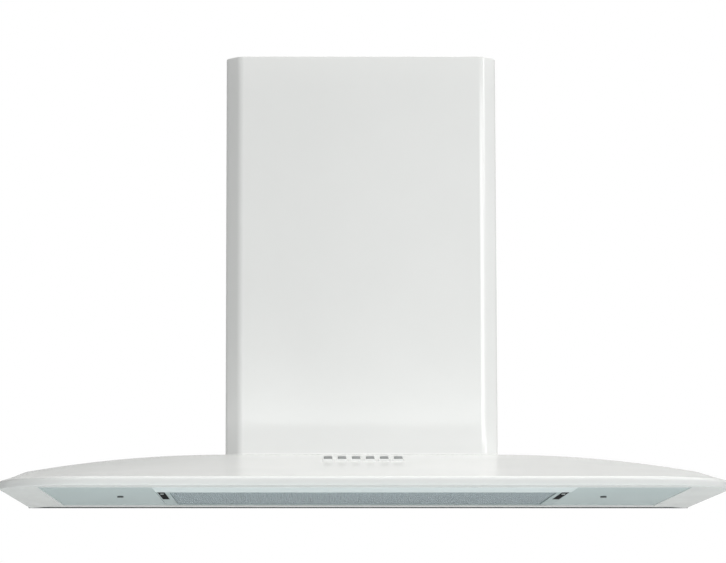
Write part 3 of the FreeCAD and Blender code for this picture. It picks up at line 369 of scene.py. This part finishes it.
def inward(point):
    """The plan direction from a rim point towards the inside."""
    x = point.x / MM
    y = point.y / MM
    over_x = abs(x) - (WIDTH / 2 - CORNER)
    over_y = -y - (DEPTH - CORNER)
    side = math.copysign(1, x)
    if over_x > 0 and over_y > 0:
        length = math.hypot(over_x, over_y)
        return Vector((-side * over_x / length, over_y / length, 0))
    if abs(x) > WIDTH / 2 - SIDE_TOUCH:
        return Vector((-side, 0, 0))
    return Vector((0, 1, 0))


def border_x(x):
    """The X where the underside's border ends, for a point of the outline."""
    inner_half = WIDTH / 2 - SIDE_BORDER
    return min(inner_half, max(-inner_half, x))


def border_y(y):
    """The Y where the underside's border ends, for a point of the outline."""
    return min(-REAR_BORDER, max(FRONT_BORDER - DEPTH, y))


def canopy_rim(points, faces, rows):
    """The lip and the border under it: from the wall along the left, round the front and back."""
    rim = list(range(rows - 1, 0, -1))
    rim += [i * rows for i in range(COLUMNS + 1)]
    rim += [COLUMNS * rows + j for j in range(1, rows)]
    rings = [rim]
    for level, inset in LIP_PROFILE:
        ring = []
        for index in rim:
            base = points[index]
            place = base + inward(base) * inset * MM
            place.z = at(0, 0, level).z
            ring.append(len(points))
            points.append(place)
        rings.append(ring)
    ring = []
    for index in rim:
        base = points[index]
        ring.append(len(points))
        points.append(at(border_x(base.x / MM), border_y(base.y / MM), 0))
    rings.append(ring)
    for outer, inner in zip(rings, rings[1:]):
        for k in range(len(outer) - 1):
            faces.append((outer[k], inner[k], inner[k + 1], outer[k + 1]))


def canopy_back(points, faces, rows):
    """The wall side and the rear border. Gives the numbers of the faces painted dark as shade by the
    wall.
    """
    rings = [[i * rows + rows - 1 for i in range(COLUMNS + 1)]]
    for depth in (0, WALL_SHADE_BAND, REAR_BORDER):
        share = depth / REAR_BORDER
        ring = []
        for index in rings[0]:
            x = points[index].x / MM
            ring.append(len(points))
            points.append(at(x + (border_x(x) - x) * share, -depth, 0))
        rings.append(ring)
    first = len(faces) + COLUMNS
    for near, far in zip(rings, rings[1:]):
        for k in range(COLUMNS):
            faces.append((near[k], near[k + 1], far[k + 1], far[k]))
    return range(first, first + COLUMNS)


def canopy():
    """The canopy as one folded sheet, with the button slots and the opening under the chimney."""
    points, faces, rows = canopy_top()
    canopy_rim(points, faces, rows)
    wall_shade_faces = canopy_back(points, faces, rows)
    mesh = mesh_from("canopy", points, faces)
    mesh.materials.append(enamel)
    # The band along the wall gets the near-black colour painted as shade.
    mesh.materials.append(painted_wall_shade)
    for number in wall_shade_faces:
        mesh.polygons[number].material_index = 1
    work = bmesh.new()
    work.from_mesh(mesh)
    bmesh.ops.remove_doubles(work, verts=work.verts, dist=WELD)
    bmesh.ops.dissolve_degenerate(work, edges=work.edges, dist=WELD / 2)
    bmesh.ops.recalc_face_normals(work, faces=work.faces)
    work.to_mesh(mesh)
    work.free()
    item = piece("canopy", mesh, None, "hood", "canopy_shell")
    thick = item.modifiers.new("sheet", "SOLIDIFY")
    thick.thickness = SHEET * MM
    thick.offset = -1
    for number, cutter in enumerate(cutters()):
        hole = item.modifiers.new("hole%d" % number, "BOOLEAN")
        hole.operation = "DIFFERENCE"
        hole.object = cutter
        hole.solver = "EXACT"
    bake_modifiers(item)
    shade(item.data, 30)


def bake_modifiers(item):
    """Replace the mesh with its evaluated form and drop the cutters."""
    graph = bpy.context.evaluated_depsgraph_get()
    final = bpy.data.meshes.new_from_object(item.evaluated_get(graph))
    used = [modifier.object for modifier in item.modifiers if modifier.type == "BOOLEAN"]
    item.modifiers.clear()
    item.data = final
    for cutter in used:
        bpy.data.objects.remove(cutter)


SLOPE = math.atan2(CROWN - LIP, DEPTH - CHIMNEY_DEPTH)
BUTTON_Y, BUTTON_PITCH, BUTTON_COUNT = -330, 17.6, 6
SLOT_HALF_X, SLOT_HALF_Y, SLOT_REACH = 6.3, 4.95, 9
ROOF_HALF, ROOF_FRONT, ROOF_BACK, ROOF_TOP = 146.5, -252, 4, 90


def button_frame(index):
    """The place and tilt of one button on the slope."""
    z = LIP + (DEPTH + BUTTON_Y) * math.tan(SLOPE)
    x = (index - (BUTTON_COUNT - 1) / 2) * BUTTON_PITCH
    return Matrix.Translation(at(x, BUTTON_Y, z)) @ Matrix.Rotation(SLOPE, 4, "X")


def block_object(name, low, high, place):
    """A plain closed block, used as a cutter."""
    corners = [Vector((x, y, z)) for x in (low[0], high[0]) for y in (low[1], high[1])
               for z in (low[2], high[2])]
    faces = [(0, 1, 3, 2), (4, 6, 7, 5), (0, 4, 5, 1), (2, 3, 7, 6), (0, 2, 6, 4), (1, 5, 7, 3)]
    mesh = mesh_from(name, [place @ (corner * MM) for corner in corners], faces)
    item = bpy.data.objects.new(name, mesh)
    bpy.context.scene.collection.objects.link(item)
    return item


def cutters():
    """What is cut from the canopy: a slot for each button, and the opening under the chimney."""
    slot = (SLOT_HALF_X, SLOT_HALF_Y, SLOT_REACH)
    holes = [block_object("slot%d" % index, [-size for size in slot], slot, button_frame(index))
             for index in range(BUTTON_COUNT)]
    lift = Matrix.Translation(at(0, 0, 0))
    holes.append(block_object("roof", (-ROOF_HALF, ROOF_FRONT, SHEET), (ROOF_HALF, ROOF_BACK, ROOF_TOP),
                              lift))
    return holes


# ---------------------------------------------------------------- chimney

BACK_RETURN, REAR_BEND = 15, 1.6
WIDE_BEND_STEPS, TIGHT_BEND_STEPS = 12, 3
COVER_ROWS = 12
COVER_PLAY = 0.05

# How much a 45 degree bevel narrows for each millimetre that its outline moves inwards.
BEVEL_SHARE = 0.5858

# A cover's hem, in shares of its flare, and the roll of its top edge, in millimetres: the distance
# from the foot or the top, and how far the sheet leans out of or into the cover there.
HEM_PROFILE = ((0, 1), (0.5, 0.7), (1, 0.35), (1.6, 0))
TOP_ROLL = ((1.2, 0), (0.6, 0.12), (0.2, 0.4), (0, 0.8))


def bend_points(corner, before, after, radius, count):
    """Round one corner of a plan outline."""
    to_before = (before - corner).normalized()
    to_after = (after - corner).normalized()
    angle = to_before.angle(to_after)
    reach = radius / math.tan(angle / 2)
    start = corner + to_before * reach
    end = corner + to_after * reach
    middle = corner + (to_before + to_after).normalized() * (radius / math.sin(angle / 2))
    first = start - middle
    last = end - middle
    sweep = first.angle(last)
    weight = math.sin(sweep)
    result = []
    for k in range(count + 1):
        part = k / count
        near = first * (math.sin((1 - part) * sweep) / weight)
        far = last * (math.sin(part * sweep) / weight)
        result.append(middle + near + far)
    return result


def cover_outline(inset, rear):
    """The plan line of a chimney cover, from one rear return round to the other."""
    half = CHIMNEY_HALF - inset
    front = CHIMNEY_DEPTH - inset
    bevel = BEVEL - BEVEL_SHARE * inset
    left = [(-half + BACK_RETURN, -rear), (-half, -rear), (-half, bevel - front), (bevel - half, -front)]
    right = [(-x, y) for x, y in reversed(left)]
    corners = [Vector(corner) for corner in left + right]
    bends = [0, REAR_BEND] + [BEND - inset] * 4 + [REAR_BEND, 0]
    line = []
    for k, (corner, bend) in enumerate(zip(corners, bends)):
        if bend:
            steps = WIDE_BEND_STEPS if bend > REAR_BEND else TIGHT_BEND_STEPS
            line += bend_points(corner, corners[k - 1], corners[k + 1], bend, steps)
        else:
            line.append(corner)
    return line


def cover(name, node, body, inset, rear, low, high, hem):
    """A chimney cover of one folded sheet, with a rolled top edge and a hem along its foot."""
    outer = cover_outline(inset, rear)
    count = len(outer)
    levels = [(low + rise * hem, -lean * hem) for rise, lean in HEM_PROFILE]
    levels += [(low + (high - low) * k / COVER_ROWS, 0) for k in range(1, COVER_ROWS)]
    levels += [(high - drop, lean) for drop, lean in TOP_ROLL]
    normals = []
    for k in range(count):
        along = (outer[min(k + 1, count - 1)] - outer[max(k - 1, 0)]).normalized()
        normals.append(Vector((-along.y, along.x)))
    points = []
    for z, pull in levels:
        for place, normal in zip(outer, normals):
            spot = place + normal * pull
            points.append(at(spot.x, min(spot.y, -rear), z))
    faces = []
    for level in range(len(levels) - 1):
        for k in range(count - 1):
            a = level * count + k
            faces.append((a, a + 1, a + count + 1, a + count))
    mesh = mesh_from(name, points, faces)
    item = piece(name, mesh, cover_enamel, body, node)
    thick = item.modifiers.new("sheet", "SOLIDIFY")
    thick.thickness = (COVER_SHEET - COVER_PLAY) * MM
    thick.offset = -1
    thick.use_even_offset = True
    bake_modifiers(item)
    shade(item.data, 40)


# ---------------------------------------------------------------- filter mesh

FILTER_HALF, FILTER_FRONT, FILTER_REAR = 242, -328, -74
STRAND_THICK, STRAND_RISE, STRAND_REACH = 0.35, 0.5, 0.86


def strand(points, faces, row, level, shift, pitch_x, pitch_y, width):
    """One zigzag strand across the filter, lifted a little at every other bend."""
    low = FILTER_FRONT + row * pitch_y
    count = int(2 * FILTER_HALF / pitch_x * 2)
    start = len(points)
    half = width / 2
    for k in range(count + 1):
        x = -FILTER_HALF + k * pitch_x / 2
        y = low + (pitch_y if (k + row + shift) % 2 else 0) * STRAND_REACH
        y = min(FILTER_REAR, y)
        rise = STRAND_RISE if (k + row) % 2 else 0
        for dy, dz in ((-half, 0), (half, 0), (half, STRAND_THICK), (-half, STRAND_THICK)):
            points.append(at(x, y + dy, level + dz + rise))
    for k in range(count):
        a = start + 4 * k
        for side in range(4):
            after = (side + 1) % 4
            faces.append((a + side, a + after, a + 4 + after, a + 4 + side))
    faces.append((start, start + 3, start + 2, start + 1))
    end = start + 4 * count
    faces.append((end, end + 1, end + 2, end + 3))


def expanded_mesh(name, node, material, levels, pitch_x, pitch_y, width):
    """Layers of expanded metal: zigzag strands that meet at their bends."""
    points = []
    faces = []
    rows = int((FILTER_REAR - FILTER_FRONT) / pitch_y)
    for layer, level in enumerate(levels):
        for row in range(rows):
            strand(points, faces, row, level, layer % 2, pitch_x, pitch_y, width)
    piece(name, mesh_from(name, points, faces), material, "filter", node)


# ---------------------------------------------------------------- the pieces

COVER_FOOT = CROWN + 0.02
UPPER_INSET = COVER_SHEET + 1
UPPER_FOOT, UPPER_TOP = 130, 570
LOWER_HEM, UPPER_HEM = 1.2, 0.1
FACE_LEVELS = (1.55,)
LAYER_LEVELS = (2.9, 4.6, 6.3, 8.0)

canopy()
cover("lower_cover", "lower_chimney", "hood", 0, 0, COVER_FOOT, CHIMNEY_TOP, LOWER_HEM)
cover("upper_cover_sheet", "upper_chimney", "upper_cover", UPPER_INSET, UPPER_INSET,
      UPPER_FOOT, UPPER_TOP, UPPER_HEM)
expanded_mesh("filter_face", "filter_grille", grille_metal, FACE_LEVELS, 6, 3, 1.0)
expanded_mesh("filter_layers", "filter_mesh", mesh_metal, LAYER_LEVELS, 9, 4.6, 0.9)

for node in frame["nodes"].values():
    shade(node.data, 30)


# ---------------------------------------------------------------- stage, light and camera
# From here on, places and sizes are in the frame's metres, and powers in watts. Only the camera's
# place is given in hood millimetres again.

FLOOR_LEVEL, FLOOR_SIZE, FLOOR_GLOW = -1.25, 16, 0.62


def stage_plane(name, centre, size, turn, material):
    """A flat stage card that faces its own +Z."""
    mesh = bpy.data.meshes.new(name)
    half_x = size[0] / 2
    half_y = size[1] / 2
    corners = [(-half_x, -half_y, 0), (half_x, -half_y, 0), (half_x, half_y, 0), (-half_x, half_y, 0)]
    mesh.from_pydata(corners, [], [(0, 1, 2, 3)])
    item = bpy.data.objects.new(name, mesh)
    item.matrix_world = Matrix.Translation(Vector(centre)) @ turn.to_4x4()
    bpy.context.scene.collection.objects.link(item)
    mesh.materials.append(material)


def stage_nodes(name, scale, detail, dark, pale):
    """A matt stage colour with slow tone changes."""
    n = Nodes(name)
    cloud = n.noise(n.scaled(scale, scale, scale), detail=detail)
    n.link(n.ramp(cloud, [(0.3, dark), (0.7, pale)]), n.shader.inputs["Base Color"])
    n.set(Roughness=0.9, Specular_IOR_Level=0.1)
    return n


def clear_where(n, factor, surface):
    """Finish a stage material that is clear wherever the factor is 1."""
    mix = n.add("ShaderNodeMixShader")
    n.link(factor, mix.inputs["Fac"])
    n.link(surface, mix.inputs[1])
    n.link(n.add("ShaderNodeBsdfTransparent").outputs["BSDF"], mix.inputs[2])
    n.link(mix.outputs["Shader"], n.tree.nodes["Material Output"].inputs["Surface"])
    return n.material


def floor_material():
    """A pale floor that takes the shadow. The camera sees it nearly white, and clear from below."""
    n = stage_nodes("floor", 2, 4, (0.84, 0.85, 0.85), (0.87, 0.88, 0.88))
    to_camera = n.add("ShaderNodeLightPath").outputs["Is Camera Ray"]
    power = n.add("ShaderNodeMath", operation="MULTIPLY")
    n.link(to_camera, power.inputs[0])
    power.inputs[1].default_value = FLOOR_GLOW
    glow = n.add("ShaderNodeEmission")
    glow.inputs["Color"].default_value = (1, 1, 1, 1)
    n.link(power.outputs[0], glow.inputs["Strength"])
    total = n.add("ShaderNodeAddShader")
    n.link(n.shader.outputs["BSDF"], total.inputs[0])
    n.link(glow.outputs["Emission"], total.inputs[1])
    below = n.add("ShaderNodeMath", operation="MULTIPLY")
    n.link(n.add("ShaderNodeNewGeometry").outputs["Backfacing"], below.inputs[0])
    n.link(to_camera, below.inputs[1])
    return clear_where(n, below.outputs[0], total.outputs["Shader"])


def card_material(name, colour):
    """A studio card that the camera looks through and that everything else sees."""
    n = stage_nodes(name, 1.5, 2, tint(colour, 0.98), tint(colour, 1.02))
    to_camera = n.add("ShaderNodeLightPath").outputs["Is Camera Ray"]
    return clear_where(n, to_camera, n.shader.outputs["BSDF"])


FACING_FRONT = Matrix.Rotation(math.radians(90), 3, "X")
FACING_RIGHT = Matrix.Rotation(math.radians(90), 3, "Y")
stage_plane("floor", (0, 0, FLOOR_LEVEL), (FLOOR_SIZE, FLOOR_SIZE), Matrix.Identity(3), floor_material())
stage_plane("backdrop", (0, 1.3, 0.6), (6, 3.6), FACING_FRONT,
            card_material("backdrop", (0.74, 0.745, 0.74)))
stage_plane("flag", (-0.95, -0.45, 0.36), (0.7, 1.1), FACING_RIGHT,
            card_material("flag", (0.06, 0.06, 0.06)))


def world(light):
    """White for the camera and for reflections, a softer light for everything else."""
    scene_world = bpy.data.worlds.new("studio")
    bpy.context.scene.world = scene_world
    scene_world.use_nodes = True
    tree = scene_world.node_tree
    ground = tree.nodes["Background"]
    ground.inputs["Color"].default_value = (1, 1, 1, 1)
    ground.inputs["Strength"].default_value = light
    white = tree.nodes.new("ShaderNodeBackground")
    white.inputs["Color"].default_value = (1, 1, 1, 1)
    white.inputs["Strength"].default_value = 1
    path = tree.nodes.new("ShaderNodeLightPath")
    total = path.outputs["Is Camera Ray"]
    for ray in ("Is Glossy Ray", "Is Transmission Ray"):
        higher = tree.nodes.new("ShaderNodeMath")
        higher.operation = "MAXIMUM"
        tree.links.new(total, higher.inputs[0])
        tree.links.new(path.outputs[ray], higher.inputs[1])
        total = higher.outputs[0]
    mix = tree.nodes.new("ShaderNodeMixShader")
    tree.links.new(total, mix.inputs["Fac"])
    tree.links.new(ground.outputs["Background"], mix.inputs[1])
    tree.links.new(white.outputs["Background"], mix.inputs[2])
    tree.links.new(mix.outputs["Shader"], tree.nodes["World Output"].inputs["Surface"])


def softbox(name, place, target, size, power, colour=(1, 1, 1), shine_only=False):
    """An area lamp. One that is shine_only shows in gloss and lights nothing else."""
    lamp = bpy.data.lights.new(name, "AREA")
    lamp.shape = "RECTANGLE"
    lamp.size, lamp.size_y = size
    lamp.energy = power
    lamp.color = colour
    item = bpy.data.objects.new(name, lamp)
    item.location = place
    item.visible_camera = False
    item.visible_diffuse = not shine_only
    item.rotation_mode = "QUATERNION"
    item.rotation_quaternion = (Vector(target) - Vector(place)).to_track_quat("-Z", "Y")
    bpy.context.scene.collection.objects.link(item)


WARM = (1.02, 0.995, 0.965)
COOL = (0.84, 1.0, 0.99)
SOFT_COOL = (0.985, 1.01, 1.005)
world(0.5)
softbox("key", (1.25, -2.2, 0.38), (0, -0.26, 0.1), (0.2, 0.8), 2.4)
softbox("window", (1.39, -1.84, 0.32), (0.17, -0.25, 0.32), (1.6, 0.85), 19, shine_only=True)
softbox("top", (0.3, -0.6, 2.2), (0, -0.35, -0.15), (2.4, 0.9), 25, WARM)
softbox("under", (0, -0.3, -1.15), (0, -0.29, 0), (1.3, 0.7), 1.5, COOL)
softbox("edge", (0, -0.52, -0.52), (0, -0.5, -0.19), (1.2, 0.1), 0.5, COOL)
softbox("fill", (-0.05, -1.35, -0.04), (-0.05, -0.26, 0), (1.9, 0.16), 3.1, SOFT_COOL)
softbox("right", (2.3, -0.9, 0.9), (0.2, -0.3, -0.1), (0.6, 0.8), 10)

# The camera stands a little left of the hood's middle and just below its underside. The photograph's
# verticals are parallel, which asks for a strong lens shift. That would push the hood out of other
# views, so a small shift is used and a tilt upwards does the rest.
CAMERA_PLACE = (-74.4, -3921.9, -220.1)
CAMERA_TILT, CAMERA_TURN = 6.284, -0.084
SENSOR, LENS = 36, 142.41
SHIFT_X, SHIFT_Y = 0.0758, 0.1
CLIP_END = 100
camera_data = bpy.data.cameras.new("camera")
camera = bpy.data.objects.new("camera", camera_data)
bpy.context.scene.collection.objects.link(camera)
camera_data.sensor_width = SENSOR
camera_data.lens = LENS
camera_data.shift_x = SHIFT_X
camera_data.shift_y = SHIFT_Y
camera_data.clip_end = CLIP_END
camera.location = at(*CAMERA_PLACE)
camera.rotation_euler = (math.radians(90 + CAMERA_TILT), 0, math.radians(CAMERA_TURN))
bpy.context.scene.camera = camera
bpy.context.scene.view_settings.view_transform = "Standard"
